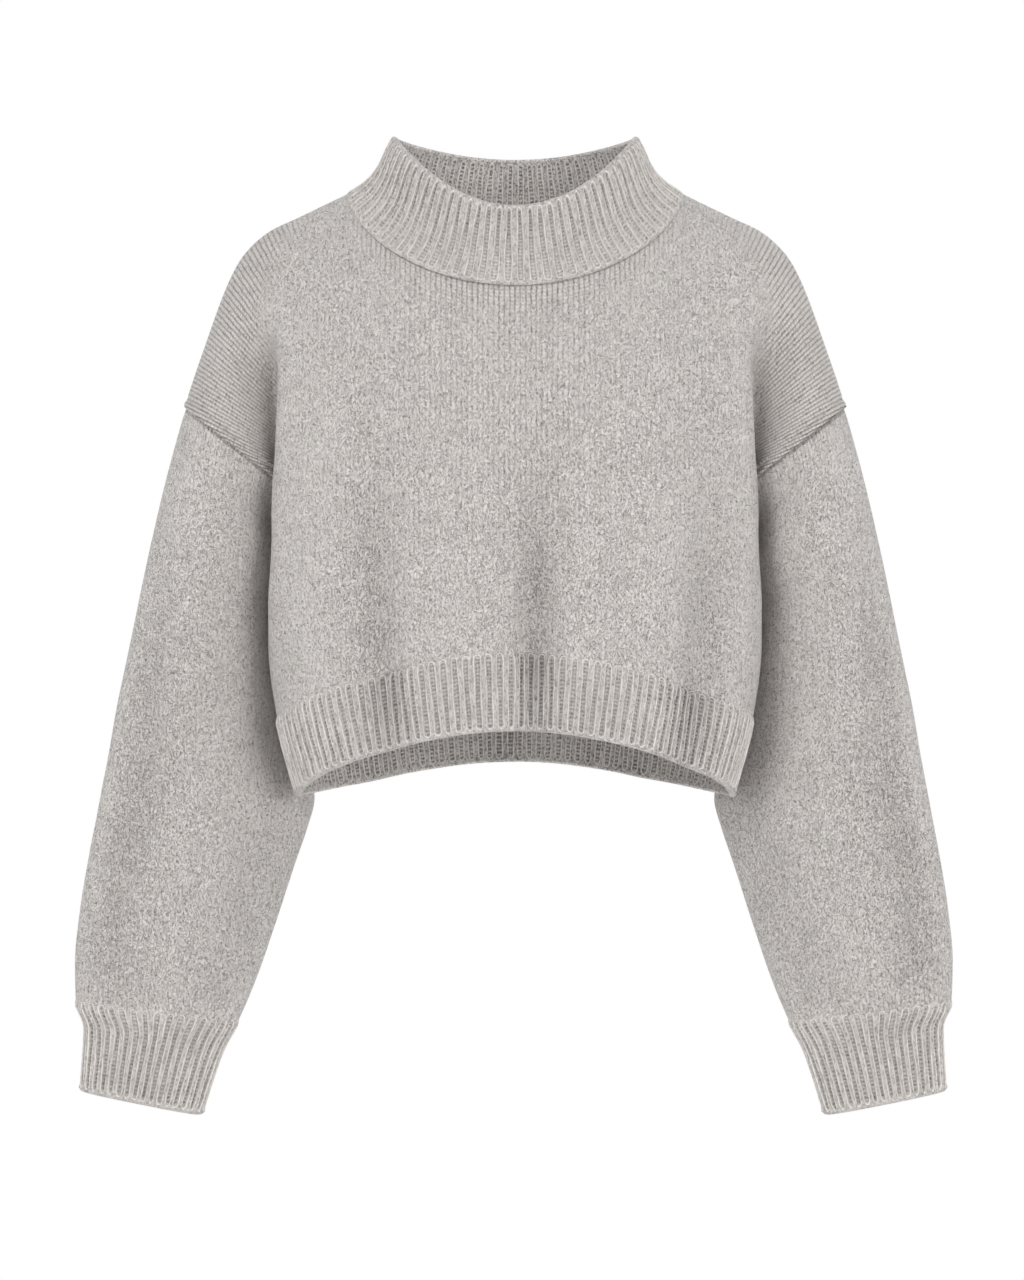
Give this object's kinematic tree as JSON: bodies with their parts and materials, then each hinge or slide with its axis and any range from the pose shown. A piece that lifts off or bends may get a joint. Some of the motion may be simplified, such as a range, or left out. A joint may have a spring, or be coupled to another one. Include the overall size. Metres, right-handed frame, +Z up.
{
  "type": "cropped knit sweater",
  "caption": "Hollow cropped pullover with a ribbed funnel collar, dropped shoulders, full sleeves, ribbed cuffs and an arched ribbed hem.",
  "frame": {"origin": "middle of the neck, 8.5 mm below the two points where the shoulder seams meet the collar", "axes": "+Z up along the wearer's neck, -Y out of the front, +X towards the wearer's left side"},
  "size_m": [0.6595, 0.2334, 0.7339],
  "materials": {
    "knit": "soft brushed wool, matt",
    "rib_knit": "ribbed wool, matt"
  },
  "bodies": {
    "root": {"front": "knit", "back": "knit", "sleeve_left": "knit", "sleeve_right": "knit", "collar": "rib_knit", "hem_rib": "rib_knit", "cuff_left": "rib_knit", "cuff_right": "rib_knit"}
  },
  "joints": []
}
